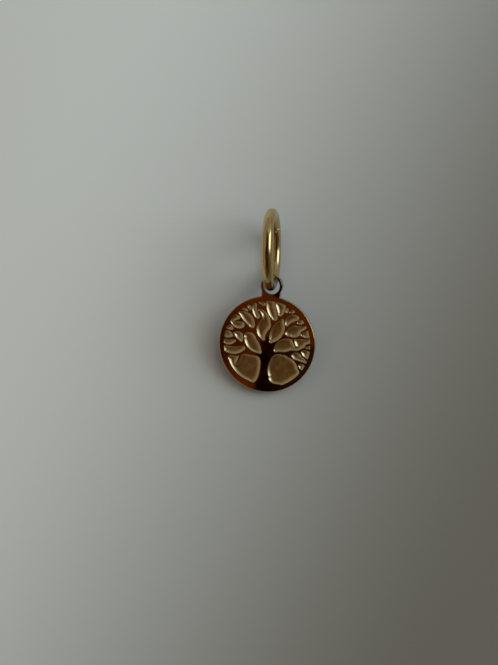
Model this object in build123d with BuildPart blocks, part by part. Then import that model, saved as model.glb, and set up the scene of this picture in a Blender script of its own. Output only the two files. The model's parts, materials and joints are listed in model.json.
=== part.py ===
from build123d import *

import os
from collections import namedtuple
from math import asin, atan2, cos, degrees, hypot, radians, sin, sqrt

# Tree charm, in millimetres: a round disc whose raised tree joins its rim, with a loop on its top edge,
# and the thick round-wire ring that passes through the loop. It lies as it would on a table: the ring
# stands on its edge, and the disc hangs on it with its lower edge on the table.

# Disc
disc_diameter = 10.0
disc_thickness = 1.0
edge_round = 0.1
rim_width = 0.5
relief = 0.22

# Jump ring
ring_diameter = 8.5
wire_diameter = 1.1

# Loop on the disc's top edge. Its hole clears the wire all round, and the wire lies left of its middle.
wire_clearance = 0.3
left_clearance = 0.18
loop_wall = 0.275
bridge_height = 0.2
neck_width = 1.94
neck_root_round = 0.15

# How far the disc is turned from the ring's direction, seen from above, in degrees
disc_turn = -4.0

# The sunk ground between the branches is a set of bent strokes with rounded ends. A station of a stroke
# has its place from the disc's centre, with y towards the loop, and the stroke's breadth there, all in
# hundredths of the disc's diameter.
Station = namedtuple("Station", "x y breadth")
Stroke = namedtuple("Stroke", "name start middle end")


def stroke(name, *sizes):
    """A row of the tables below: x, y and breadth at the start, the middle and the end."""
    return Stroke(name, Station(*sizes[0:3]), Station(*sizes[3:6]), Station(*sizes[6:9]))


hollows = [
    stroke("root right, tall", 11.5, -33.6, 13.2, 12.2, -26.5, 18.4, 13.6, -17.4, 17.0),
    stroke("root right, wide", 17.5, -17.5, 16.6, 22.7, -22.3, 20.6, 28.2, -27.8, 16.2),
    stroke("root right, low", 13.5, -34.6, 11.8, 20.5, -32.6, 16.4, 28.0, -30.0, 15.6),
    stroke("root left, tall", -11.4, -19.2, 12.2, -11.2, -27.0, 11.8, -12.4, -34.4, 11.4),
    stroke("root left, wide", -14.0, -20.5, 15.0, -21.0, -21.8, 18.4, -28.5, -21.8, 13.6),
    stroke("root left, outer", -12.2, -37.0, 8.6, -24.7, -25.8, 16.6, -36.9, -17.9, 5.4),
    stroke("right by rim, low", 36.5, -18.7, 3.8, 38.1, -19.8, 5.6, 39.2, -21.4, 3.8),
    stroke("right leaf, inner", 29.3, -8.7, 5.4, 31.6, -9.1, 7.4, 33.6, -9.4, 6.0),
    stroke("right leaf, outer", 30.8, -10.2, 5.4, 35.8, -11.5, 5.2, 41.4, -14.3, 2.6),
    stroke("right triangle", 37.8, -4.2, 3.4, 40.6, -5.6, 7.0, 43.6, -7.0, 7.6),
    stroke("right speck", 41.7, 0.8, 2.2, 43.4, 1.1, 3.2, 45.4, 1.2, 3.6),
    stroke("right long, inner", 10.0, -4.6, 4.8, 16.6, 0.2, 13.0, 25.6, 2.0, 10.6),
    stroke("right long, outer", 24.5, 1.8, 10.6, 31.0, 2.8, 11.8, 35.9, 3.8, 8.4),
    stroke("right long, tip", 34.0, 5.5, 7.0, 39.5, 6.6, 5.2, 44.6, 7.6, 4.2),
    stroke("right by rim, high", 36.2, 13.6, 4.0, 39.4, 14.2, 7.4, 43.0, 14.6, 7.0),
    stroke("right oval", 21.8, 14.2, 7.4, 25.0, 15.4, 11.4, 28.6, 16.0, 10.8),
    stroke("right oval's tail", 27.0, 18.6, 7.6, 32.6, 19.2, 6.2, 38.9, 22.0, 2.4),
    stroke("upper right seed", 31.0, 25.6, 3.0, 33.2, 26.3, 4.8, 35.2, 26.6, 2.8),
    stroke("upper right hook", 19.3, 22.2, 3.0, 21.0, 27.4, 7.2, 28.6, 30.0, 5.2),
    stroke("middle right leaf", 4.1, 3.8, 3.8, 9.8, 14.7, 13.2, 13.8, 26.4, 3.4),
    stroke("upper right dot", 17.9, 38.6, 2.0, 18.2, 37.0, 3.0, 17.9, 35.2, 2.0),
    stroke("upper right drop", 21.6, 35.6, 2.2, 23.4, 36.2, 3.6, 26.2, 36.9, 1.4),
    stroke("top right", 11.4, 32.6, 4.6, 12.0, 37.0, 8.0, 10.8, 43.0, 9.8),
    stroke("top middle", 5.9, 28.3, 6.0, 2.2, 36.0, 9.0, 0.6, 44.5, 8.2),
    stroke("top chip", -10.6, 42.5, 1.6, -7.9, 41.6, 3.4, -6.1, 41.4, 3.2),
    stroke("top left", -15.6, 39.5, 4.0, -14.8, 32.8, 4.8, -11.8, 28.2, 4.8),
    stroke("middle left leaf, low", -3.8, 5.4, 3.0, -6.3, 12.0, 9.8, -3.9, 20.0, 13.0),
    stroke("middle left leaf, high", -10.6, 34.8, 2.0, -5.0, 31.0, 5.4, -3.4, 22.0, 11.0),
    stroke("upper left dot", -22.2, 38.2, 1.8, -20.9, 36.8, 3.4, -19.8, 35.2, 2.4),
    stroke("upper left drop", -27.7, 34.7, 1.6, -25.2, 34.1, 2.6, -22.9, 32.9, 1.6),
    stroke("upper left leaf", -31.2, 30.4, 1.6, -21.9, 25.1, 9.6, -17.0, 18.6, 6.2),
    stroke("left fork, low", -38.3, 20.4, 2.6, -33.0, 17.6, 6.8, -28.0, 17.6, 6.4),
    stroke("left fork, high", -37.8, 22.2, 3.2, -35.2, 24.6, 5.4, -32.2, 25.0, 4.2),
    stroke("left by rim, high", -41.7, 13.7, 3.2, -39.8, 13.9, 5.0, -37.8, 13.2, 3.2),
    stroke("left by rim, square", -43.4, 6.8, 6.8, -40.2, 6.4, 6.6, -37.6, 5.7, 3.4),
    stroke("left seed, low", -34.0, 8.6, 2.6, -29.6, 6.2, 7.0, -26.9, 1.6, 3.0),
    stroke("left seed, high", -33.0, 8.4, 3.0, -29.7, 7.9, 4.6, -27.7, 7.4, 3.6),
    stroke("left leaf, high", -21.5, 8.0, 5.0, -18.4, 6.5, 8.6, -14.5, 3.0, 7.0),
    stroke("left leaf, low", -21.4, 7.0, 5.8, -15.0, -0.9, 12.2, -6.6, -8.6, 3.6),
    stroke("left by rim, low", -43.0, -1.2, 4.8, -38.6, -1.3, 5.0, -33.6, 0.6, 2.2),
    stroke("left bean", -42.6, -8.4, 6.0, -34.5, -9.7, 7.4, -24.4, -6.4, 4.4),
]

# Twigs that end inside a hollow, in the same measures
twigs = [
    stroke("root left twig", -26.7, -13.2, 2.6, -27.8, -17.6, 1.8, -30.2, -22.8, 1.2),
    stroke("left fork's twig", -29.0, 22.5, 2.2, -31.5, 21.9, 1.8, -35.0, 20.9, 1.2),
    stroke("right long twig", 26.9, 7.9, 2.6, 27.9, 4.8, 1.8, 30.0, 1.0, 1.2),
]

disc_radius = disc_diameter / 2
field_radius = disc_radius - rim_width
ring_radius = ring_diameter / 2
wire_radius = wire_diameter / 2
ring_mean_radius = ring_radius - wire_radius
loop_hole_radius = wire_radius + wire_clearance
loop_radius = loop_hole_radius + loop_wall
loop_reach = disc_radius + bridge_height + loop_hole_radius
table_unit = disc_diameter / 100

# The disc leans by the angle at which the wire passes squarely through the loop while the disc's lower
# back edge touches the table. The loop then sits lower on the ring than its middle by the same angle.
lean_run = loop_reach + disc_radius - edge_round + ring_mean_radius
lean_rise = disc_thickness / 2 - edge_round
lean = asin((ring_radius - edge_round) / hypot(lean_run, lean_rise)) - atan2(lean_rise, lean_run)
loop_height = ring_radius - ring_mean_radius * sin(lean)

# Places on the table. The disc is centred from side to side, so the loop and the ring stand a little
# off the middle, and the whole charm is centred along its length. The front slope is the share of the
# disc's front direction that points away from the ring.
turn = radians(disc_turn)
front_slope = cos(turn) * sin(lean)
rounding_reach = (disc_radius - edge_round) * sqrt(1 - front_slope**2) + lean_rise * front_slope
disc_half_length = rounding_reach + edge_round
disc_from_loop = loop_reach * cos(lean) * cos(turn)
ring_from_loop = ring_mean_radius * cos(lean)
length = disc_half_length + disc_from_loop + ring_from_loop + ring_radius
loop_x = -loop_reach * cos(lean) * sin(turn)
loop_y = disc_half_length + disc_from_loop - length / 2
ring_x = loop_x + left_clearance - wire_clearance
ring_y = loop_y + ring_from_loop

loop_place = Location((loop_x, loop_y, loop_height), (disc_turn, degrees(lean), 0), Intrinsic.ZXY)
disc_middle = Plane(loop_place * Pos(0, -loop_reach, 0))
disc_front = disc_middle.offset(disc_thickness / 2)
disc_axis = Axis(disc_middle.origin, disc_middle.z_dir)


def end_direction(near, far, overall):
    """Direction at the near end of an arc that passes its middle along the overall direction."""
    chord = (far - near).normalized()
    return chord * (2 * chord.dot(overall)) - overall


def stroke_outline(row):
    """The four arcs round a stroke: a side, the far end, the other side and the near end."""
    start, middle, end = (Vector(station.x, station.y) * table_unit for station in row[1:])
    overall = (end - start).normalized()
    ways = (end_direction(start, middle, overall), overall, end_direction(middle, end, overall))
    halves = [station.breadth * table_unit / 2 for station in row[1:]]
    lefts, rights = [], []
    for point, way, half in zip((start, middle, end), ways, halves):
        sideways = Vector(-way.Y, way.X) * half
        lefts.append(point + sideways)
        rights.append(point - sideways)
    ThreePointArc(*lefts)
    ThreePointArc(lefts[2], end + ways[2] * halves[2], rights[2])
    ThreePointArc(*reversed(rights))
    ThreePointArc(rights[0], start - ways[0] * halves[0], lefts[0])


with BuildPart() as medallion:
    with BuildSketch(disc_middle) as outline:
        Circle(disc_radius)
        with Locations((0, loop_reach)):
            Circle(loop_radius)
        with Locations((0, loop_reach / 2)):
            Rectangle(neck_width, loop_reach)
        fillet(outline.vertices(), neck_root_round)
        with Locations((0, loop_reach)):
            Circle(loop_hole_radius, mode=Mode.SUBTRACT)
    extrude(amount=disc_thickness / 2, both=True)
    fillet(medallion.faces().sort_by(disc_axis)[-1].edges(), edge_round)
    fillet(medallion.faces().sort_by(disc_axis)[0].edges(), edge_round)
    with BuildSketch(disc_front) as ground:
        for row in hollows:
            with BuildLine():
                stroke_outline(row)
            make_face()
        Circle(field_radius, mode=Mode.INTERSECT)
        for row in twigs:
            with BuildLine():
                stroke_outline(row)
            make_face(mode=Mode.SUBTRACT)
    extrude(amount=-relief, mode=Mode.SUBTRACT)

with BuildPart() as jump_ring:
    with BuildSketch(Plane.XY.offset(ring_radius)):
        with Locations((ring_x, ring_y + ring_mean_radius)):
            Circle(wire_radius)
    revolve(axis=Axis((ring_x, ring_y, ring_radius), (1, 0, 0)))

os.makedirs("parts", exist_ok=True)
for name, piece in (("medallion", medallion), ("jump_ring", jump_ring)):
    piece.part.label = name
    export_step(piece.part, f"parts/{name}.step")
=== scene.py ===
"""Looks of a tree charm: a polished medallion with a raised tree, and the jump ring through its loop.

The medallion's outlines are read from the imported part, and its face is worked out again as one height over
the distance to those outlines, so that the sunk ground gets the sloped, coved walls of a cast piece. The
jump ring is a torus with the small faults of bent wire. All sizes are in millimetres until a mesh is made.
"""

from __future__ import annotations

import json
import logging
import math
from dataclasses import dataclass
from enum import Enum

import bpy
import numpy as np
from mathutils import Matrix, Vector
from mathutils.geometry import delaunay_2d_cdt

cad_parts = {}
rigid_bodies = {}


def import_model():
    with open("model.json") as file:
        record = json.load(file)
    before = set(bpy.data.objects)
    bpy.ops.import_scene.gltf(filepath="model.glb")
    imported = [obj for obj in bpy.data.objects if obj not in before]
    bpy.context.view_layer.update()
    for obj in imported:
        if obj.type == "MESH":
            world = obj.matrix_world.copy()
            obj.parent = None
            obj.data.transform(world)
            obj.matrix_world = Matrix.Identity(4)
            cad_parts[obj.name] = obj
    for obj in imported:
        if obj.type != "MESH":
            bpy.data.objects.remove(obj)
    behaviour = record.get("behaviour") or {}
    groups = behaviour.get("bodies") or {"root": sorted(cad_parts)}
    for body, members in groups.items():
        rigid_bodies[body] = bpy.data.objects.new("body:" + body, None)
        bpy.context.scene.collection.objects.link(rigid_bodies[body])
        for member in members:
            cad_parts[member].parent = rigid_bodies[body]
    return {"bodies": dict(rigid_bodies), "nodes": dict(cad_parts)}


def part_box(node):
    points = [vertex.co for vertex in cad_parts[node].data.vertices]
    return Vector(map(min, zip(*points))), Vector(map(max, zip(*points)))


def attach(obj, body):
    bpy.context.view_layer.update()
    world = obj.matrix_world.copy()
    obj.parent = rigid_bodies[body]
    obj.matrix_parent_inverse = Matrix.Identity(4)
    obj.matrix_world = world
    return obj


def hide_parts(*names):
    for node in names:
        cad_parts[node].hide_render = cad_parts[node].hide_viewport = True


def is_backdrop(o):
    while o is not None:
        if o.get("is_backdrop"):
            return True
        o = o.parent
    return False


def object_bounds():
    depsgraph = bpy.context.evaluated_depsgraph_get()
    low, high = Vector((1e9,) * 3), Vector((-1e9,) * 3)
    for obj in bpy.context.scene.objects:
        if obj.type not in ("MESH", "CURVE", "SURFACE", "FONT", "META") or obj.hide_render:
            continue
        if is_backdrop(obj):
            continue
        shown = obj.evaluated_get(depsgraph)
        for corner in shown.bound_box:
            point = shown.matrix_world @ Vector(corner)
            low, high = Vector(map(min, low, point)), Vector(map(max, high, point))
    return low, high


MM = 0.001
# A Mix node has sockets of the same name for numbers, vectors and colours: these are its colour ones.
MIX_FIRST, MIX_SECOND, MIX_RESULT = 6, 7, 2
# The mesh attribute that holds the share of painted shade at each point.
PAINTED_SHADE_NAME = "painted_shade"
DEPTH_NAME = "depth"
LOG = logging.getLogger("tree_charm")
Tree = bpy.types.NodeTree
Socket = bpy.types.NodeSocket


class Region(Enum):
    """The parts of the medallion's skin that are finished differently, by material index."""

    POLISHED = 0
    GROUND = 1


def linear(hex_colour: str) -> tuple[float, float, float, float]:
    """Turns an sRGB hex colour into the linear colour that shaders use.

    Args:
        hex_colour: The colour, such as "#d8b26a".

    Returns:
        Linear red, green and blue, and an alpha of one.
    """
    shares = [int(hex_colour[i : i + 2], 16) / 255 for i in (1, 3, 5)]
    curved = [c / 12.92 if c <= 0.04045 else ((c + 0.055) / 1.055) ** 2.4 for c in shares]
    return curved[0], curved[1], curved[2], 1.0


def per_metre(size_mm: float) -> float:
    """Texture scale at which one cell of a pattern on Object coordinates is size_mm wide."""
    return 1 / (size_mm * MM)


def add_node(
    tree: Tree,
    kind: str,
    settings: dict[str | int, object] | None = None,
    links: dict[str | int, Socket] | None = None,
) -> bpy.types.Node:
    """Adds one node with its settings and its incoming links.

    Args:
        tree: The node tree that gets the node.
        kind: The node's type name.
        settings: Values by the name or index of the input that they set. A name that no input has is an
            attribute of the node.
        links: Output sockets of other nodes, by the name or index of the input that they feed.

    Returns:
        The new node.
    """
    node = tree.nodes.new(kind)
    values = settings or {}
    attributes = {k: v for k, v in values.items() if isinstance(k, str) and k not in node.inputs}
    for name, value in attributes.items():
        setattr(node, name, value)
    for key, value in values.items():
        if key not in attributes:
            node.inputs[key].default_value = value
    for key, socket in (links or {}).items():
        tree.links.new(socket, node.inputs[key])
    return node


def blank_material(name: str) -> tuple[bpy.types.Material, Tree]:
    """Makes a material whose node tree is empty.

    Args:
        name: The material's name.

    Returns:
        The material and its node tree.
    """
    material = bpy.data.materials.new(name)
    material.use_nodes = True
    material.node_tree.nodes.clear()
    return material, material.node_tree


def with_painted_shade(tree: Tree, colour: str, painted_shade_colour: str) -> Socket:
    """Darkens a plating's colour by painted shade, by the share that the mesh holds at each point where the
    piece lies in shade.

    Args:
        tree: The finish's node tree.
        colour: The clean plating's colour.
        painted_shade_colour: The colour where the painted shade is whole.

    Returns:
        The colour's socket.
    """
    share = add_node(tree, "ShaderNodeAttribute", {"attribute_name": PAINTED_SHADE_NAME})
    mixed = add_node(
        tree,
        "ShaderNodeMix",
        {"data_type": "RGBA", MIX_FIRST: linear(colour), MIX_SECOND: linear(painted_shade_colour)},
        {"Factor": share.outputs["Fac"]},
    )
    return mixed.outputs[MIX_RESULT]


def end_in_metal(
    tree: Tree,
    colour: Socket,
    roughness: Socket,
    normal: Socket,
) -> None:
    """Ends a finish in bare metal.

    Args:
        tree: The finish's node tree.
        colour: The socket of the metal's colour.
        roughness: The socket of its roughness.
        normal: The socket of its normals.
    """
    shader = add_node(
        tree,
        "ShaderNodeBsdfPrincipled",
        {"Metallic": 1.0},
        {"Base Color": colour, "Roughness": roughness, "Normal": normal},
    )
    add_node(tree, "ShaderNodeOutputMaterial", links={"Surface": shader.outputs["BSDF"]})


@dataclass(frozen=True)
class Ripple:
    """A fine unevenness of a skin: its cells' width and its height in millimetres, and its octaves."""

    width: float
    height: float
    octaves: float = 2.0
    octave_share: float = 0.5
    strength: float = 1.0

    def over(self, tree: Tree, place: Socket, under: Socket | None = None) -> Socket:
        """Bends a finish's normals as the unevenness does.

        Args:
            tree: The finish's node tree.
            place: The socket of the places that the pattern lies on.
            under: The socket of normals that are bent already, or None.

        Returns:
            The socket of the bent normals.
        """
        cells = add_node(
            tree,
            "ShaderNodeTexNoise",
            {"Scale": per_metre(self.width), "Detail": self.octaves, "Roughness": self.octave_share},
            {"Vector": place},
        )
        bent = add_node(
            tree,
            "ShaderNodeBump",
            {"Strength": self.strength, "Distance": self.height * MM},
            {"Height": cells.outputs["Fac"], **({} if under is None else {"Normal": under})},
        )
        return bent.outputs["Normal"]


@dataclass(frozen=True)
class Polish:
    """A polish that is duller in patches: their width in millimetres, and its least and most roughness."""

    width: float
    clear: float
    dull: float
    clear_below: float
    dull_above: float
    octaves: float = 5.0
    octave_share: float = 0.6

    def roughness(self, tree: Tree, place: Socket) -> Socket:
        """Works out how rough the polish is.

        Args:
            tree: The finish's node tree.
            place: The socket of the places that the patches lie on.

        Returns:
            The roughness's socket.
        """
        patches = add_node(
            tree,
            "ShaderNodeTexNoise",
            {"Scale": per_metre(self.width), "Detail": self.octaves, "Roughness": self.octave_share},
            {"Vector": place},
        )
        ends = {"From Min": self.clear_below, "From Max": self.dull_above}
        mapped = add_node(
            tree,
            "ShaderNodeMapRange",
            {**ends, "To Min": self.clear, "To Max": self.dull},
            {"Value": patches.outputs["Fac"]},
        )
        return mapped.outputs["Result"]


@dataclass(frozen=True)
class MirrorGold:
    """Gold-coloured plating over buffed steel.

    The flats act as a mirror, so the eye sees the room in them, broken up by a faint orange-peel swell, by
    hairlines from the buffing wheel and by the haze that fingers leave.
    """

    name: str = "mirror_gold"
    colour: str = "#cfb47c"
    # The colour of the painted shade that darkens the walls near the loop.
    painted_shade_colour: str = "#2a2014"
    haze: Polish = Polish(2.2, clear=0.03, dull=0.09, clear_below=0.42, dull_above=0.7, octave_share=0.62)
    swell: Ripple = Ripple(0.42, height=0.00035, octave_share=0.45)
    hairlines: Ripple = Ripple(0.05, height=0.00006, octaves=3.0, octave_share=0.6)
    hairline_heading: float = 28.0
    hairline_stretch: float = 0.035

    def material(self) -> bpy.types.Material:
        """Builds the plating's material.

        Returns:
            The material.
        """
        material, tree = blank_material(self.name)
        place = add_node(tree, "ShaderNodeTexCoord").outputs["Object"]
        heading = math.radians(self.hairline_heading)
        brushed = add_node(
            tree,
            "ShaderNodeMapping",
            {"Rotation": (0.0, 0.0, heading), "Scale": (1.0, self.hairline_stretch, 1.0)},
            {"Vector": place},
        )
        swelling = self.swell.over(tree, place)
        end_in_metal(
            tree,
            with_painted_shade(tree, self.colour, self.painted_shade_colour),
            self.haze.roughness(tree, place),
            self.hairlines.over(tree, brushed.outputs["Vector"], swelling),
        )
        return material


@dataclass(frozen=True)
class BlastedGold:
    """The same plating over the sunk ground, which was grit-blasted before it was plated.

    It scatters light into a soft satin sheen, a little mottled, and grows glossier up the coved walls.
    """

    name: str = "blasted_gold"
    # Painted highlight: the walls' colour is paler than the floor's, for the cream that the coved walls
    # catch from the window.
    wall_colour: str = "#d6bf92"
    floor_colour: str = "#cdb06a"
    dull_colour: str = "#b98c50"
    wall_roughness: float = 0.3
    floor_roughness: float = 0.46
    wall_depth: float = 0.45
    floor_depth: float = 0.85
    mottle_width: float = 0.55
    dull_below: float = 0.38
    clear_above: float = 0.66
    grain: Ripple = Ripple(0.045, height=0.0022, strength=0.8)

    def material(self) -> bpy.types.Material:
        """Builds the ground's material, which reads how deep each point lies from the mesh.

        Returns:
            The material.
        """
        material, tree = blank_material(self.name)
        place = add_node(tree, "ShaderNodeTexCoord").outputs["Object"]
        depth = add_node(tree, "ShaderNodeAttribute", {"attribute_name": DEPTH_NAME})
        mottle = add_node(
            tree,
            "ShaderNodeTexNoise",
            {"Scale": per_metre(self.mottle_width), "Detail": 4.0, "Roughness": 0.6},
            {"Vector": place},
        )
        tint = add_node(tree, "ShaderNodeValToRGB", links={"Fac": mottle.outputs["Fac"]})
        stops = ((self.dull_below, self.dull_colour), (self.clear_above, self.floor_colour))
        for element, (position, colour) in zip(tint.color_ramp.elements, stops):
            element.position = position
            element.color = linear(colour)
        sunk = add_node(
            tree,
            "ShaderNodeMapRange",
            {"From Min": self.wall_depth, "From Max": self.floor_depth},
            {"Value": depth.outputs["Fac"]},
        )
        # Painted highlight: pale colour up the walls, going over to the mottled floor colour with depth.
        painted_highlight_tint = add_node(
            tree,
            "ShaderNodeMix",
            {"data_type": "RGBA", MIX_FIRST: linear(self.wall_colour)},
            {"Factor": sunk.outputs["Result"], MIX_SECOND: tint.outputs["Color"]},
        )
        roughness = add_node(
            tree,
            "ShaderNodeMapRange",
            {"To Min": self.wall_roughness, "To Max": self.floor_roughness},
            {"Value": sunk.outputs["Result"]},
        )
        end_in_metal(
            tree, painted_highlight_tint.outputs[MIX_RESULT], roughness.outputs["Result"], self.grain.over(tree, place)
        )
        return material


@dataclass(frozen=True)
class TumbledGold:
    """Gold-coloured plating over drawn wire that was tumbled smooth.

    Tumbling leaves a soft mirror, whose highlights have feathered sides, over a slight swell.
    """

    name: str = "tumbled_gold"
    colour: str = "#cfb47c"
    # The colour of the painted shade that darkens the wire under the plate.
    painted_shade_colour: str = "#2a2014"
    wear: Polish = Polish(1.1, clear=0.16, dull=0.26, clear_below=0.4, dull_above=0.68)
    swell: Ripple = Ripple(0.5, height=0.0012)

    def material(self) -> bpy.types.Material:
        """Builds the wire's material.

        Returns:
            The material.
        """
        material, tree = blank_material(self.name)
        place = add_node(tree, "ShaderNodeTexCoord").outputs["Object"]
        end_in_metal(
            tree,
            with_painted_shade(tree, self.colour, self.painted_shade_colour),
            self.wear.roughness(tree, place),
            self.swell.over(tree, place),
        )
        return material


@dataclass(frozen=True)
class Plate:
    """The flat frame of the medallion as it lies: its middle, and its directions as columns of a matrix."""

    origin: np.ndarray
    axes: np.ndarray

    def flatten(self, points: np.ndarray) -> np.ndarray:
        """Points of the row's frame seen in the plate's own frame, in which z is height off its middle."""
        return (points - self.origin) @ self.axes

    def lift(self, points: np.ndarray) -> np.ndarray:
        """Points of the plate's own frame put where the plate lies."""
        return points @ self.axes.T + self.origin

    def turn(self, directions: np.ndarray) -> np.ndarray:
        """Directions of the plate's own frame turned to how the plate lies."""
        return directions @ self.axes.T


@dataclass(frozen=True)
class NodeMesh:
    """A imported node's mesh with its loose triangles joined at their corners, in millimetres."""

    corners: np.ndarray
    triangles: np.ndarray

    @classmethod
    def read(cls, node: bpy.types.Object) -> NodeMesh:
        """Reads a node.

        Args:
            node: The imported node's object.

        Returns:
            Its corners, each once, and its triangles.
        """
        mesh = node.data
        mesh.calc_loop_triangles()
        places = np.empty(len(mesh.vertices) * 3)
        mesh.vertices.foreach_get("co", places)
        triangles = np.empty(len(mesh.loop_triangles) * 3, dtype=np.int32)
        mesh.loop_triangles.foreach_get("vertices", triangles)
        corners, each = np.unique(places.reshape(-1, 3) / MM, axis=0, return_inverse=True)
        return cls(corners, each.reshape(-1)[triangles].reshape(-1, 3))

    def plate(self, flat_share: float = 0.9998) -> Plate:
        """Finds how a flat piece lies.

        The direction in which the squares of all face areas lean most is the plate's normal. It is then
        averaged over the faces that look that way, and its middle is half way between the two skins.

        Args:
            flat_share: The cosine of the largest angle between a flat face and the plate's normal.

        Returns:
            The plate's frame, with z up through its front, and y along the row's Y as far as it can be.
        """
        a, b, c = (self.corners[self.triangles[:, i]] for i in range(3))
        areas = np.cross(b - a, c - a)
        lengths = np.linalg.norm(areas, axis=1, keepdims=True)
        rough = np.linalg.eigh(areas.T @ (areas / np.maximum(lengths, 1e-12)))[1][:, 2]
        leaning = (areas @ rough)[:, None]
        flat = (np.abs(leaning) > flat_share * lengths)[:, 0]
        front = (areas[flat] * np.sign(leaning[flat])).sum(axis=0)
        front *= np.sign(front[2]) / np.linalg.norm(front)
        across = np.cross((0.0, 1.0, 0.0), front)
        across /= np.linalg.norm(across)
        axes = np.stack([across, np.cross(front, across), front], axis=1)
        seen = self.corners @ axes
        return Plate(axes @ ((seen.min(axis=0) + seen.max(axis=0)) / 2), axes)


@dataclass(frozen=True)
class Outline:
    """Closed outlines in a plane, as evenly spaced points with air on the left of their direction."""

    points: np.ndarray
    along: np.ndarray
    corner: np.ndarray
    following: np.ndarray
    spacing: float

    CORNER_COSINE = math.cos(math.radians(16))
    CHUNK = 1024
    NOTHING = 1e-6

    @classmethod
    def between(cls, mesh: NodeMesh, plate: Plate, low: float, high: float, spacing: float) -> Outline:
        """Reads the outline of the upright walls that stand between two heights of a plate.

        Each wall triangle with two corners at the upper height gives one straight step, whose air side is
        on its left. A step is divided along a Hermite curve. Its end directions split the turn to the
        neighbouring steps by their lengths, as on a circle, except at a corner, where they are its own.
        The corner's point itself gets the even mean of its two steps' directions, by which the side of the
        outline that a place lies on is told rightly even round a sharp tip.

        Args:
            mesh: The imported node.
            plate: How it lies.
            low: The walls' lower height off the plate's middle.
            high: Their upper height.
            spacing: The longest distance between two points of the outline.

        Returns:
            The outlines, all together.
        """
        seen = plate.flatten(mesh.corners)
        tolerance = spacing / 20
        upper = (np.abs(seen[:, 2] - high) < tolerance)[mesh.triangles]
        lower = (np.abs(seen[:, 2] - low) < tolerance)[mesh.triangles]
        walls = (upper.sum(axis=1) == 2) & (lower.sum(axis=1) == 1)
        odd = np.argmax(lower[walls], axis=1)
        rows = np.arange(len(odd))
        starts = mesh.triangles[walls][rows, (odd + 1) % 3]
        ends = mesh.triangles[walls][rows, (odd + 2) % 3]
        by_start = np.argsort(starts)
        by_end = np.argsort(ends)
        after = by_start[np.searchsorted(starts, ends, sorter=by_start)]
        before = by_end[np.searchsorted(ends, starts, sorter=by_end)]

        steps = seen[ends, :2] - seen[starts, :2]
        lengths = np.hypot(*steps.T)[:, None]
        ways = steps / lengths
        sharp = (ways * ways[before]).sum(axis=1) < cls.CORNER_COSINE
        shared = ways[before] * lengths + ways * lengths[before]
        shared /= np.linalg.norm(shared, axis=1, keepdims=True)
        leaving = np.where(sharp[:, None], ways, shared)
        arriving = np.where(sharp[after, None], ways, shared[after])

        counts = np.maximum(np.ceil(lengths[:, 0] / spacing).astype(int), 1)
        firsts = np.cumsum(counts) - counts
        step = np.repeat(np.arange(len(counts)), counts)
        place = np.arange(counts.sum()) - firsts[step]
        t = (place / counts[step])[:, None]
        p, q = seen[starts[step], :2], seen[ends[step], :2]
        m, n = leaving[step] * lengths[step], arriving[step] * lengths[step]
        points = (
            (2 * t**3 - 3 * t**2 + 1) * p + (t**3 - 2 * t**2 + t) * m
            + (3 * t**2 - 2 * t**3) * q + (t**3 - t**2) * n
        )
        along = (6 * t**2 - 6 * t) * (p - q) + (3 * t**2 - 4 * t + 1) * m + (3 * t**2 - 2 * t) * n
        corner = (place == 0) & sharp[step]
        along = np.where(corner[:, None], (ways[before] + ways)[step], along)
        along /= np.linalg.norm(along, axis=1, keepdims=True)
        last = place == counts[step] - 1
        following = np.where(last, firsts[after[step]], np.arange(len(step)) + 1)
        return cls(points, along, corner, following, spacing)

    def airward(self) -> np.ndarray:
        """The direction from each point to the air side: the way along, turned left by a quarter."""
        return np.stack([-self.along[:, 1], self.along[:, 0]], axis=1)

    def beside(self, distance: float) -> np.ndarray:
        """Points at a distance from the outline, towards the air, that no other stretch is nearer to."""
        moved = self.points + distance * self.airward()
        measured, _ = self.measure(moved)
        return moved[np.abs(measured - distance) < 0.1 * self.spacing]

    def measure(self, places: np.ndarray) -> tuple[np.ndarray, np.ndarray]:
        """Measures how far places lie from the outline, positive on the air side.

        The nearest point of the outline is slid along its own direction by up to half a spacing, but not
        at a corner, and the rest of the way to the place is the distance.

        Args:
            places: Places in the plane.

        Returns:
            The signed distances, and the directions in which they grow.
        """
        squares = (self.points**2).sum(axis=1)
        nearest = np.concatenate([
            np.argmin(squares - 2 * places[i : i + self.CHUNK] @ self.points.T, axis=1)
            for i in range(0, len(places), self.CHUNK)
        ])
        away = places - self.points[nearest]
        slide = np.clip((away * self.along[nearest]).sum(axis=1), -self.spacing / 2, self.spacing / 2)
        slide[self.corner[nearest]] = 0
        away -= slide[:, None] * self.along[nearest]
        airward = self.airward()[nearest]
        side = np.where((away * airward).sum(axis=1) < 0, -1.0, 1.0)
        length = np.hypot(*away.T)
        straight = side[:, None] * away / np.maximum(length, self.NOTHING)[:, None]
        growing = np.where((length < self.NOTHING)[:, None], airward, straight)
        return side * length, growing

    def edges(self) -> np.ndarray:
        """Pairs of neighbouring points along the outline."""
        return np.stack([np.arange(len(self.points)), self.following], axis=1)


def thinned(points: np.ndarray, cell: float) -> np.ndarray:
    """Keeps one point in each square cell of a grid.

    Args:
        points: Points in the plane.
        cell: The grid's cell size.

    Returns:
        The points that stay.
    """
    _, first = np.unique(np.floor(points / cell), axis=0, return_index=True)
    return points[np.sort(first)]


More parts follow.
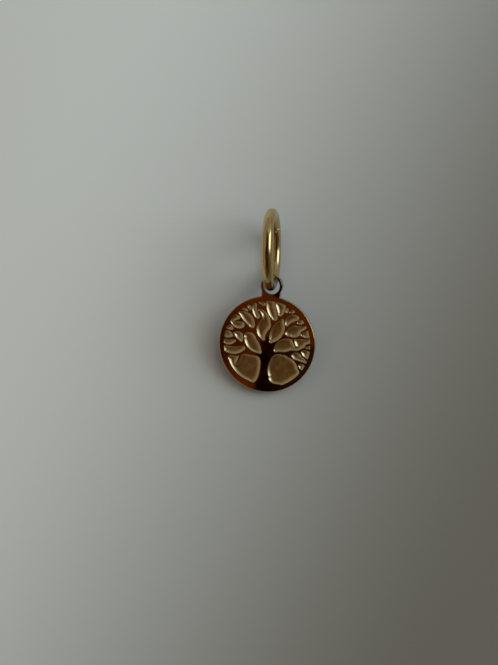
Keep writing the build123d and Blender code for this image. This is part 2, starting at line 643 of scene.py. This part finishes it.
def solid(
    name: str,
    vertices: np.ndarray,
    faces: list[np.ndarray],
    finishes: list[bpy.types.Material],
    region: np.ndarray | None = None,
    normals: np.ndarray | None = None,
    shares: dict[str, np.ndarray] | None = None,
) -> bpy.types.Object:
    """Makes a smooth-shaded object from arrays.

    Args:
        name: The object's name.
        vertices: The vertices, in millimetres, where they lie in the row's frame.
        faces: Arrays of faces, each with its own number of corners.
        finishes: The materials.
        region: The material index of each face, or None if they are all the first.
        normals: Vertex normals, where a row of zeros leaves one as it comes, or None for all.
        shares: Numbers at each vertex that a finish reads, by the name of the attribute that holds them.

    Returns:
        The object, linked to the scene.
    """
    mesh = bpy.data.meshes.new(name)
    mesh.from_pydata((vertices * MM).tolist(), [], [f for group in faces for f in group.tolist()])
    for finish in finishes:
        mesh.materials.append(finish)
    if region is not None:
        mesh.polygons.foreach_set("material_index", region.astype(np.int32))
    mesh.shade_smooth()
    if normals is not None:
        mesh.normals_split_custom_set_from_vertices(normals.tolist())
    for share_name, values in (shares or {}).items():
        attribute = mesh.attributes.new(share_name, "FLOAT", "POINT")
        attribute.data.foreach_set("value", values.astype(np.float32))
    mesh.update()
    piece = bpy.data.objects.new(name, mesh)
    bpy.context.scene.collection.objects.link(piece)
    return piece


@dataclass
class Medallion:
    """The round plate with its raised tree, its rim and the loop on its top edge."""

    node: bpy.types.Object
    body: str
    relief: float = 0.22
    edge_round: float = 0.1
    front_round: float = 0.07
    outline_spacing: float = 0.03
    lip: float = 0.03
    cove_width: float = 0.36
    cove_power: float = 1.7
    dome_width: float = 0.16
    dome_slope: float = 0.05
    rounding_steps: int = 6
    cove_rows: int = 8
    dome_rows: int = 3
    dish_width: float = 1.2
    dish_depth: float = 0.03
    dish_spacing: float = 0.12
    corner_round: float = 0.06
    blur_cell: float = 0.04
    # Painted shade: within this reach of the loop's top, the walls and edge roundings are darkened in
    # colour, fading in over the fade.
    painted_shade_reach: float = 2.4
    painted_shade_fade: float = 0.7
    matte_from: float = 0.02

    def steepest(self) -> float:
        """The slope just inside the lip, at which lip, cove and dish together fall by the relief."""
        cove = (self.cove_width - self.lip) * self.cove_power / (self.cove_power + 1)
        return (self.relief - self.dish_depth) / (self.lip + cove)

    def fall(self, distance: np.ndarray) -> tuple[np.ndarray, np.ndarray]:
        """How far the face falls at a signed distance into the sunk ground, and how steeply.

        Before the ground's edge the polished top is slightly domed: its slope grows with the square of how
        near the edge is. Across the lip, from as far before the edge as behind it, the slope grows evenly
        to the steepest. Behind it the wall stays steep, and its slope falls by a power of the share of the
        cove's width, to nothing at its end. A dish with an evenly falling slope is added over a wider
        stretch.

        Args:
            distance: Signed distances, positive over the sunk ground.

        Returns:
            The falls and the slopes.
        """
        near = np.clip(1 + distance / self.dome_width, 0, 1)
        across = np.clip(distance + self.lip, 0, 2 * self.lip)
        share = np.clip((distance - self.lip) / (self.cove_width - self.lip), 0, 1)
        dish = np.clip((distance - self.lip) / self.dish_width, 0, 1)
        steep = self.steepest()
        power = self.cove_power
        domed = self.dome_slope * self.dome_width / 3 * near**3
        lipped = steep * across**2 / (4 * self.lip)
        coved = steep * (self.cove_width - self.lip) * (share - share ** (power + 1) / (power + 1))
        fall = domed + lipped + coved + self.dish_depth * (1 - (1 - dish) ** 2)
        slope = np.where(distance < 0, self.dome_slope * near**2, 0) + steep * across / (2 * self.lip)
        return fall, slope

    def softened(self, flat: np.ndarray, ground: Outline) -> np.ndarray:
        """The fall with the ground's inner corners rounded, as in a casting.

        The fall is worked out on a square grid, blurred there by a bell curve of the corners' rounding, and
        read back at the points from the four grid places round each.

        Args:
            flat: Points in the plane.
            ground: The outlines of the sunk ground.

        Returns:
            The blurred fall at each point.
        """
        cell = self.blur_cell
        low = flat.min(axis=0) - 2 * cell
        counts = np.ceil((flat.max(axis=0) + 2 * cell - low) / cell).astype(int) + 1
        grid = low + cell * np.stack(np.meshgrid(*map(np.arange, counts), indexing="ij"), axis=2)
        fallen, _ = self.fall(ground.measure(grid.reshape(-1, 2))[0])
        waves = np.fft.rfft2(fallen.reshape(counts))
        rates, other_rates = np.fft.fftfreq(counts[0], cell), np.fft.rfftfreq(counts[1], cell)
        squares = rates[:, None] ** 2 + other_rates[None, :] ** 2
        soft = np.fft.irfft2(waves * np.exp(-2 * (math.pi * self.corner_round) ** 2 * squares), counts)
        place = (flat - low) / cell
        i, j = np.floor(place).astype(int).T
        u, v = (place - np.floor(place)).T
        left = soft[i, j] * (1 - v) + soft[i, j + 1] * v
        right = soft[i + 1, j] * (1 - v) + soft[i + 1, j + 1] * v
        return left * (1 - u) + right * u

    @staticmethod
    def rounding(inside: np.ndarray, radius: float) -> tuple[np.ndarray, np.ndarray]:
        """How far a rounded edge falls at a distance inside the outline, and how far it looks outwards.

        Args:
            inside: Distances from the outline into the metal.
            radius: The edge's rounding.

        Returns:
            The falls, a quarter circle of the edge's rounding, and the outward part of the unit normal.
        """
        short = np.clip(1 - inside / radius, 0, 1)
        return radius * (1 - np.sqrt(1 - short**2)), short

    def sheet(
        self, edge: Outline, ground: Outline | None, middle: float, radius: float
    ) -> tuple[np.ndarray, np.ndarray, np.ndarray, np.ndarray]:
        """Works out one skin of the plate, front or back, up to where its side wall starts.

        Rows of points follow the outlines at set distances, and a Delaunay triangulation that keeps the
        outlines joins them. The height over each point is the plate's half thickness, less the rounding
        at the point's distance from the edge, less the fall at its distance into the ground.

        Args:
            edge: The outline of the plate, the loop and its hole.
            ground: The outlines of the sunk ground, or None on the plain back.
            middle: Half of the plate's thickness.
            radius: The rounding of the plate's edge on this side.

        Returns:
            The skin's points with the edge's own points first, their normals, their depth as a share of
            the relief, and the triangles.
        """
        turns = np.linspace(0, math.pi / 2, self.rounding_steps + 1)[1:]
        rows = [edge.beside(-radius * (1 - math.cos(turn))) for turn in turns]
        fixed, edges = edge.points, edge.edges()
        if ground is not None:
            domes = -self.lip - (self.dome_width - self.lip) * np.linspace(0, 1, self.dome_rows + 1)
            coves = self.lip + (self.cove_width - self.lip) * np.linspace(0, 1, self.cove_rows + 1)
            rows += [ground.beside(distance) for distance in (*domes, *coves)]
            ticks = np.arange(edge.points.min(), edge.points.max(), self.dish_spacing)
            grid = np.stack(np.meshgrid(ticks, ticks), axis=2).reshape(-1, 2)
            grid = grid[edge.measure(grid)[0] < -self.cove_width]
            rows.append(grid[ground.measure(grid)[0] > self.cove_width])
            edges = np.concatenate([edges, ground.edges() + len(fixed)])
            fixed = np.concatenate([fixed, ground.points])
        points = np.concatenate([fixed, thinned(np.concatenate(rows), self.outline_spacing / 3)])
        made = delaunay_2d_cdt([Vector(p) for p in points.tolist()], edges.tolist(), [], 1, 1e-7, True)
        flat = np.array([tuple(p) for p in made[0]])
        triangles = np.array(made[2])
        if len(flat) < len(fixed) or np.abs(flat[: len(fixed)] - fixed).max() > self.outline_spacing / 50:
            raise ValueError("the triangulation moved the medallion's outlines")
        hidden, _ = edge.measure(flat[triangles].mean(axis=1))
        triangles = triangles[hidden < 0]

        outside, outward = edge.measure(flat)
        outside[: len(edge.points)] = 0
        outward[: len(edge.points)] = edge.airward()
        dropped, looking = self.rounding(-outside, radius)
        normals = np.concatenate([outward * looking[:, None], np.sqrt(1 - looking**2)[:, None]], axis=1)
        fallen = np.zeros(len(flat))
        if ground is not None:
            distance, deeper = ground.measure(flat)
            fallen, slope = self.fall(distance)
            inner = np.clip((distance - self.lip) / self.corner_round, 0, 2) / 2
            fallen += (self.softened(flat, ground) - fallen) * inner
            tilted = np.concatenate([deeper * slope[:, None], np.ones((len(flat), 1))], axis=1)
            tilted /= np.linalg.norm(tilted, axis=1, keepdims=True)
            normals = np.where((looking > 0)[:, None], normals, tilted)
            normals[distance > self.lip] = 0
        heights = middle - dropped - fallen
        skin = np.concatenate([flat, heights[:, None]], axis=1)
        return skin, normals, fallen / self.relief, triangles

    def build(self, mirror: bpy.types.Material, blasted: bpy.types.Material) -> bpy.types.Object:
        """Builds the medallion as one closed mesh: front skin, back skin and the wall between them.

        Args:
            mirror: The finish of the rim, the tree, the loop, the sides and the back.
            blasted: The finish of the sunk ground.

        Returns:
            The medallion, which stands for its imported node.
        """
        packed = NodeMesh.read(self.node)
        plate = packed.plate()
        middle = np.ptp(plate.flatten(packed.corners)[:, 2]) / 2
        wall = middle - self.edge_round
        edge = Outline.between(packed, plate, -wall, wall, self.outline_spacing)
        ground = Outline.between(packed, plate, middle - self.relief, middle, self.outline_spacing)
        LOG.info("medallion: %d points on its edge, %d on its ground", len(edge.points), len(ground.points))

        front, front_normals, depth, front_faces = self.sheet(edge, ground, middle, self.front_round)
        back, back_normals, _, back_faces = self.sheet(edge, None, middle, self.edge_round)
        flip = np.array([1.0, 1.0, -1.0])
        own, other = edge.edges().T
        side = np.stack([own, other, other + len(front), own + len(front)], axis=1)
        vertices = np.concatenate([front, back * flip])
        normals = np.concatenate([front_normals, back_normals * flip])
        sunk = (depth[front_faces] > self.matte_from).all(axis=1)
        # Painted shade: near the loop, the more a point's normal leans sideways, the darker its colour is
        # painted.
        loop_start = edge.points[:, 1].max() - self.painted_shade_reach
        by_loop = np.clip((vertices[:, 1] - loop_start) / self.painted_shade_fade, 0, 1)
        painted_shade = by_loop * np.linalg.norm(normals[:, :2], axis=1)
        region = np.full(len(front_faces) + len(back_faces) + len(side), Region.POLISHED.value)
        region[: len(front_faces)][sunk] = Region.GROUND.value
        piece = solid(
            "charm_medallion",
            plate.lift(vertices),
            [front_faces, back_faces[:, ::-1] + len(front), side],
            [mirror, blasted],
            region,
            plate.turn(normals),
            {DEPTH_NAME: np.concatenate([depth, np.zeros(len(back))]), PAINTED_SHADE_NAME: painted_shade},
        )
        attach(piece, self.body)
        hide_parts(self.node.name)
        return piece


def apart(angles: np.ndarray, from_angle: float) -> np.ndarray:
    """The smaller turn from one angle to each of others, with its sign."""
    return np.angle(np.exp(1j * (angles - from_angle)))


@dataclass
class JumpRing:
    """The ring of thick round wire, bent round until its two ends butt."""

    node: bpy.types.Object
    body: str
    round_steps: int = 360
    wire_steps: int = 72
    seam_angle: float = -38.0
    seam_width: float = 0.035
    seam_depth: float = 0.03
    seam_reach: float = 2.0
    seam_steps: int = 17
    nick_angle: float = 103.0
    nick_side: float = 180.0
    nick_length: float = 0.34
    nick_breadth: float = 0.1
    nick_depth: float = 0.045
    unevenness: float = 0.006
    # Painted shade: the stretch of wire round this angle, under the plate, is darkened in colour; the half
    # width and the fade are in degrees.
    painted_shade_angle: float = 203.0
    painted_shade_half: float = 15.0
    painted_shade_fade: float = 14.0

    def build(self, finish: bpy.types.Material) -> bpy.types.Object:
        """Builds the wire as a torus with a butt seam, a nick and a slight unevenness.

        A point at the angle a round the ring and b round the wire lies at the ring's middle, plus the mean
        radius and the wire's radius times cos b along the direction a, plus the wire's radius times sin b
        sideways. The wire's radius is made smaller by a narrow bell across the seam, by a bell of the
        nick's size where the nick is, and by slow waves round the ring.

        Args:
            finish: The wire's material.

        Returns:
            The ring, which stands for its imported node.
        """
        low, high = (np.array(corner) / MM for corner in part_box(self.node.name))
        middle, span = (low + high) / 2, high - low
        wire_radius = span[0] / 2
        mean_radius = span[2] / 2 - wire_radius
        seam = math.radians(self.seam_angle)
        evenly = seam + np.linspace(0, 2 * math.pi, self.round_steps, endpoint=False)
        reach = self.seam_reach * self.seam_width / mean_radius
        finely = seam + np.linspace(-reach, reach, self.seam_steps)
        evenly = evenly[np.abs(apart(evenly, seam)) > reach + self.seam_width / 2 / mean_radius]
        a = np.sort(np.concatenate([evenly, finely]) % (2 * math.pi))[:, None]
        b = np.linspace(0, 2 * math.pi, self.wire_steps, endpoint=False)[None, :]

        seamed = self.seam_depth * np.exp(-((apart(a, seam) * mean_radius / (self.seam_width / 2)) ** 2))
        nick_side = math.radians(self.nick_side) + math.pi / 2
        along_nick = apart(a, math.radians(self.nick_angle)) * mean_radius / (self.nick_length / 2)
        across_nick = apart(b, nick_side) * wire_radius / (self.nick_breadth / 2)
        nicked = self.nick_depth * np.exp(-(along_nick**2) - across_nick**2)
        waves = 0.5 + 0.25 * np.sin(3 * a + 0.7) + 0.25 * np.sin(7 * a + 2 * b + 1.9)
        radius = wire_radius - seamed - nicked - self.unevenness * waves
        outwards = mean_radius + radius * np.cos(b)
        vertices = np.stack(
            [
                middle[0] + radius * np.sin(b) + 0 * a,
                middle[1] + outwards * np.cos(a),
                middle[2] + outwards * np.sin(a),
            ],
            axis=2,
        ).reshape(-1, 3)
        # Painted shade: the wire under the plate gets a darkened colour.
        from_painted_shade = np.degrees(np.abs(apart(a, math.radians(self.painted_shade_angle))))
        painted_shade = np.clip((self.painted_shade_half + self.painted_shade_fade - from_painted_shade) / self.painted_shade_fade, 0, 1) + 0 * b
        ids = np.arange(len(vertices)).reshape(len(a), self.wire_steps)
        beyond = np.roll(ids, -1, axis=0)
        faces = np.stack([ids, beyond, np.roll(beyond, -1, axis=1), np.roll(ids, -1, axis=1)], axis=2)
        shares = {PAINTED_SHADE_NAME: painted_shade.reshape(-1)}
        piece = solid("charm_jump_ring", vertices, [faces.reshape(-1, 4)], [finish], shares=shares)
        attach(piece, self.body)
        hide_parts(self.node.name)
        return piece


@dataclass(frozen=True)
class Floor:
    """The plain pale floor that the charm lies on: matte paper with painted shade, its colour graded from
    pale to dim across it.
    """

    lit_colour: str = "#fafffa"
    shaded_colour: str = "#868379"
    heading: float = 158.0
    fade: float = 62.0
    roughness: float = 0.85
    sheen: float = 0.2
    size: float = 1600.0

    def build(self) -> bpy.types.Object:
        """Builds the floor as one square sheet at height zero.

        Returns:
            The floor, marked as not part of the object.
        """
        material, tree = blank_material("pale_paper")
        place = add_node(tree, "ShaderNodeTexCoord").outputs["Object"]
        heading = math.radians(self.heading)
        along = add_node(
            tree,
            "ShaderNodeVectorMath",
            {"operation": "DOT_PRODUCT", 1: (math.cos(heading), math.sin(heading), 0.0)},
            {0: place},
        )
        # Painted shade: the colour grades from the dim colour to the pale one along the heading, over the
        # fade's width, for light that falls off across the floor.
        reach = self.fade / 2 * MM
        painted_shading = add_node(
            tree,
            "ShaderNodeMapRange",
            {"interpolation_type": "SMOOTHSTEP", "From Min": -reach, "From Max": reach},
            {"Value": along.outputs["Value"]},
        )
        graded = add_node(
            tree,
            "ShaderNodeMix",
            {"data_type": "RGBA", MIX_FIRST: linear(self.shaded_colour), MIX_SECOND: linear(self.lit_colour)},
            {"Factor": painted_shading.outputs["Result"]},
        )
        shader = add_node(
            tree,
            "ShaderNodeBsdfPrincipled",
            {"Roughness": self.roughness, "Specular IOR Level": self.sheen},
            {"Base Color": graded.outputs[MIX_RESULT]},
        )
        add_node(tree, "ShaderNodeOutputMaterial", links={"Surface": shader.outputs["BSDF"]})
        square = np.array([(-1, -1, 0), (1, -1, 0), (1, 1, 0), (-1, 1, 0)])
        vertices = square * self.size / 2
        floor = solid("floor", vertices, [np.array([[0, 1, 2, 3]])], [material])
        floor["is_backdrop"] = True
        return floor


def seen_at(azimuth: float, elevation: float) -> Vector:
    """The direction that an azimuth from +X and an elevation, in degrees, give."""
    turn, rise = math.radians(azimuth), math.radians(elevation)
    return Vector((math.cos(rise) * math.cos(turn), math.cos(rise) * math.sin(turn), math.sin(rise)))


@dataclass(frozen=True)
class Card:
    """The glowing face of a lamp, placed by its azimuth, elevation and distance as seen from the charm."""

    name: str
    azimuth: float
    elevation: float
    distance: float
    width: float
    height: float

    def pose(self, aim: np.ndarray) -> Matrix:
        """The matrix that puts the face in place, turned to the charm, with its width level."""
        away = seen_at(self.azimuth, self.elevation)
        place = Vector(aim * MM) + away * self.distance * MM
        return Matrix.Translation(place) @ away.to_track_quat("Z", "Y").to_matrix().to_4x4()


@dataclass(frozen=True)
class Lamp:
    """A lamp with a flat face. One that lights the floor alone doesn't show in polished metal."""

    card: Card
    radiance: float
    colour: str
    shows_in_metal: bool = True

    def build(self, aim: np.ndarray) -> bpy.types.Object:
        """Builds the lamp, whose power is its radiance times its area times pi.

        Args:
            aim: The point that the lamp faces, in millimetres.

        Returns:
            The lamp's object.
        """
        light = bpy.data.lights.new(self.card.name, "AREA")
        light.shape = "RECTANGLE"
        light.size, light.size_y = self.card.width * MM, self.card.height * MM
        light.energy = self.radiance * math.pi * light.size * light.size_y
        light.color = linear(self.colour)[:3]
        holder = bpy.data.objects.new(self.card.name, light)
        holder.matrix_world = self.card.pose(aim)
        holder.visible_glossy = self.shows_in_metal
        bpy.context.scene.collection.objects.link(holder)
        return holder


@dataclass(frozen=True)
class Zone:
    """A round patch of the room: its middle as seen from the charm, two radii in degrees, two colours."""

    azimuth: float
    elevation: float
    whole: float
    reach: float
    colour: str
    second_colour: str

    def share(self, tree: Tree, way: Socket) -> Socket:
        """Works out the zone's share in a direction: all within the first radius, none past the second.

        Args:
            tree: The world's node tree.
            way: The direction that is looked in.

        Returns:
            The socket of the share.
        """
        facing = add_node(
            tree,
            "ShaderNodeVectorMath",
            {"operation": "DOT_PRODUCT", 1: seen_at(self.azimuth, self.elevation)},
            {0: way},
        )
        angle = add_node(tree, "ShaderNodeMath", {"operation": "ARCCOSINE"}, {0: facing.outputs["Value"]})
        inside = add_node(
            tree,
            "ShaderNodeMapRange",
            {
                "interpolation_type": "SMOOTHSTEP",
                "From Min": math.radians(self.reach),
                "From Max": math.radians(self.whole),
            },
            {"Value": angle.outputs["Value"]},
        )
        return inside.outputs["Result"]


@dataclass(frozen=True)
class Room:
    """The light all round: pale walls, with paler and darker zones over them that the metal mirrors."""

    wall_colour: str = "#8e8b86"
    patch_scale: float = 11.0
    zones: tuple[Zone, ...] = (
        Zone(25.0, 25.0, 15.0, 45.0, "#a2a49e", "#a2a49e"),
        Zone(-35.0, 5.0, 18.0, 36.0, "#564838", "#564838"),
        Zone(-80.0, 20.0, 24.0, 46.0, "#5c4224", "#422b12"),
        Zone(-106.0, 62.0, 15.0, 30.0, "#68300c", "#54280a"),
        Zone(-40.0, 48.0, 10.0, 26.0, "#41240c", "#41240c"),
        Zone(100.0, 58.0, 4.0, 14.0, "#4a4528", "#4a4528"),
        Zone(-120.5, 64.0, 0.5, 4.0, "#240d04", "#240d04"),
    )

    def build(self) -> None:
        """Builds the world, whose colour is mixed by the direction that is looked in."""
        world = bpy.data.worlds.new("room")
        bpy.context.scene.world = world
        world.use_nodes = True
        tree = world.node_tree
        tree.nodes.clear()
        way = add_node(tree, "ShaderNodeTexCoord").outputs["Generated"]
        noise = {"Scale": self.patch_scale, "Detail": 2.0}
        patches = add_node(tree, "ShaderNodeTexNoise", noise, {"Vector": way})
        patchy = add_node(
            tree,
            "ShaderNodeMapRange",
            {"interpolation_type": "SMOOTHSTEP", "From Min": 0.35, "From Max": 0.65},
            {"Value": patches.outputs["Fac"]},
        )
        seen = add_node(tree, "ShaderNodeRGB").outputs["Color"]
        seen.default_value = linear(self.wall_colour)
        for zone in self.zones:
            colours = {MIX_FIRST: linear(zone.colour), MIX_SECOND: linear(zone.second_colour)}
            inner = add_node(
                tree,
                "ShaderNodeMix",
                {"data_type": "RGBA", **colours},
                {"Factor": patchy.outputs["Result"]},
            )
            mixed = add_node(
                tree,
                "ShaderNodeMix",
                {"data_type": "RGBA"},
                {"Factor": zone.share(tree, way), MIX_FIRST: seen, MIX_SECOND: inner.outputs[MIX_RESULT]},
            )
            seen = mixed.outputs[MIX_RESULT]
        background = add_node(tree, "ShaderNodeBackground", {"Strength": 1.0}, {"Color": seen})
        add_node(tree, "ShaderNodeOutputWorld", links={"Surface": background.outputs["Background"]})


@dataclass(frozen=True)
class Flag:
    """A dark card held over the charm, whose rounded corner shows in the polished metal."""

    name: str
    corner: tuple[float, float]
    headings: tuple[float, float]
    rounding: float
    height: float = 90.0
    side: float = 110.0
    bend_points: int = 13
    near_colour: str = "#020102"
    far_colour: str = "#28170b"
    fade: float = 9.0

    def build(self) -> bpy.types.Object:
        """Builds the card from its corner, where a parabola joins the two edges that leave it.

        Returns:
            The card, which no camera ray sees, marked as not part of the object.
        """
        material, tree = blank_material(self.name)
        place = add_node(tree, "ShaderNodeTexCoord").outputs["Object"]
        split = add_node(tree, "ShaderNodeSeparateXYZ", links={0: place})
        start = self.corner[0] * MM
        across = add_node(
            tree,
            "ShaderNodeMapRange",
            {"interpolation_type": "SMOOTHSTEP", "From Min": start, "From Max": start + self.fade * MM},
            {"Value": split.outputs["X"]},
        )
        colour = add_node(
            tree,
            "ShaderNodeMix",
            {"data_type": "RGBA", MIX_FIRST: linear(self.near_colour), MIX_SECOND: linear(self.far_colour)},
            {"Factor": across.outputs["Result"]},
        )
        shader = add_node(tree, "ShaderNodeEmission", links={"Color": colour.outputs[MIX_RESULT]})
        add_node(tree, "ShaderNodeOutputMaterial", links={"Surface": shader.outputs["Emission"]})

        first, second = (
            np.array([math.cos(math.radians(heading)), math.sin(math.radians(heading))])
            for heading in self.headings
        )
        t = np.linspace(0, 1, self.bend_points)[:, None]
        bend = np.array(self.corner) + self.rounding * ((1 - t) ** 2 * first + t**2 * second)
        far = np.array(self.corner) + self.side * np.stack([second, first + second, first])
        flat = np.concatenate([bend, far])
        vertices = np.concatenate([flat, np.full((len(flat), 1), self.height)], axis=1)
        card = solid(self.name, vertices, [np.arange(len(flat))[None, :]], [material])
        card.visible_camera = False
        card.visible_diffuse = False
        card.visible_shadow = False
        card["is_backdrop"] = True
        return card


@dataclass(frozen=True)
class Studio:
    """The light: two windows on the right, soft light from above for the floor, a room and two cards."""

    lamps: tuple[Lamp, ...] = (
        Lamp(Card("window", 14.0, 25.0, 420.0, 250.0, 330.0), 2.6, "#dceeff"),
        Lamp(Card("small_window", 66.0, 51.0, 420.0, 66.0, 90.0), 1.9, "#e6f3ff"),
        Lamp(Card("overhead", 12.0, 48.0, 600.0, 480.0, 480.0), 1.05, "#f8fcf8", shows_in_metal=False),
    )
    room: Room = Room()
    flags: tuple[Flag, ...] = (
        Flag("black_card", corner=(-17.7, -37.6), headings=(-94.0, -20.0), rounding=8.0),
        Flag("black_card_above", corner=(-14.2, -31.9), headings=(90.0, -8.0), rounding=1.0),
    )

    def build(self, aim: np.ndarray) -> None:
        """Builds the lamps, the room and the cards.

        Args:
            aim: The point that the lamps face, in millimetres.
        """
        for lamp in self.lamps:
            lamp.build(aim)
        self.room.build()
        for flag in self.flags:
            flag.build()


@dataclass(frozen=True)
class Viewpoint:
    """The camera: where it stands, the point of the floor in the middle of its picture, and its roll."""

    place: tuple[float, float, float] = (13.14, -16.34, 103.8)
    aim: tuple[float, float, float] = (-2.24, -3.03, 0.0)
    roll: float = 2.84
    lens: float = 54.03
    sensor: float = 36.0
    nearest: float = 1.0
    farthest: float = 5000.0

    def build(self) -> bpy.types.Object:
        """Builds the camera and makes it the scene's own.

        Returns:
            The camera.
        """
        data = bpy.data.cameras.new("camera")
        data.lens = self.lens
        data.sensor_width = self.sensor
        data.clip_start, data.clip_end = self.nearest * MM, self.farthest * MM
        data.dof.use_dof = False
        camera = bpy.data.objects.new("camera", data)
        back = (Vector(self.place) - Vector(self.aim)).normalized()
        right = Vector((0.0, 1.0, 0.0)).cross(back).normalized()
        level = Matrix((right, back.cross(right), back)).transposed().to_4x4()
        rolled = level @ Matrix.Rotation(math.radians(self.roll), 4, "Z")
        camera.matrix_world = Matrix.Translation(Vector(self.place) * MM) @ rolled
        bpy.context.scene.collection.objects.link(camera)
        bpy.context.scene.camera = camera
        return camera


def corners_of(bounds: tuple[Vector, Vector]) -> list[list[float]]:
    """A box's two corners as plain lists of numbers."""
    return [[float(x) for x in corner] for corner in bounds]


def main() -> None:
    """Builds the charm's pieces, the floor, the light and the camera, and logs how many faces each piece
    has.
    """
    logging.basicConfig(level=logging.INFO, format="%(name)s: %(message)s")
    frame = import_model()
    packed = corners_of(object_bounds())
    body = next(iter(frame["bodies"]))
    medallion = Medallion(frame["nodes"]["medallion"], body)
    ring = JumpRing(frame["nodes"]["jump_ring"], body)
    for piece in (
        medallion.build(MirrorGold().material(), BlastedGold().material()),
        ring.build(TumbledGold().material()),
    ):
        LOG.info("%s: %d faces", piece.name, len(piece.data.polygons))
    Viewpoint().build()
    Floor().build()
    Studio().build((np.array(packed[0]) + np.array(packed[1])) / 2 / MM)
    scene = bpy.context.scene
    scene.view_settings.view_transform = "Standard"
    scene.cycles.caustics_reflective = False


if __name__ == "__main__":
    main()
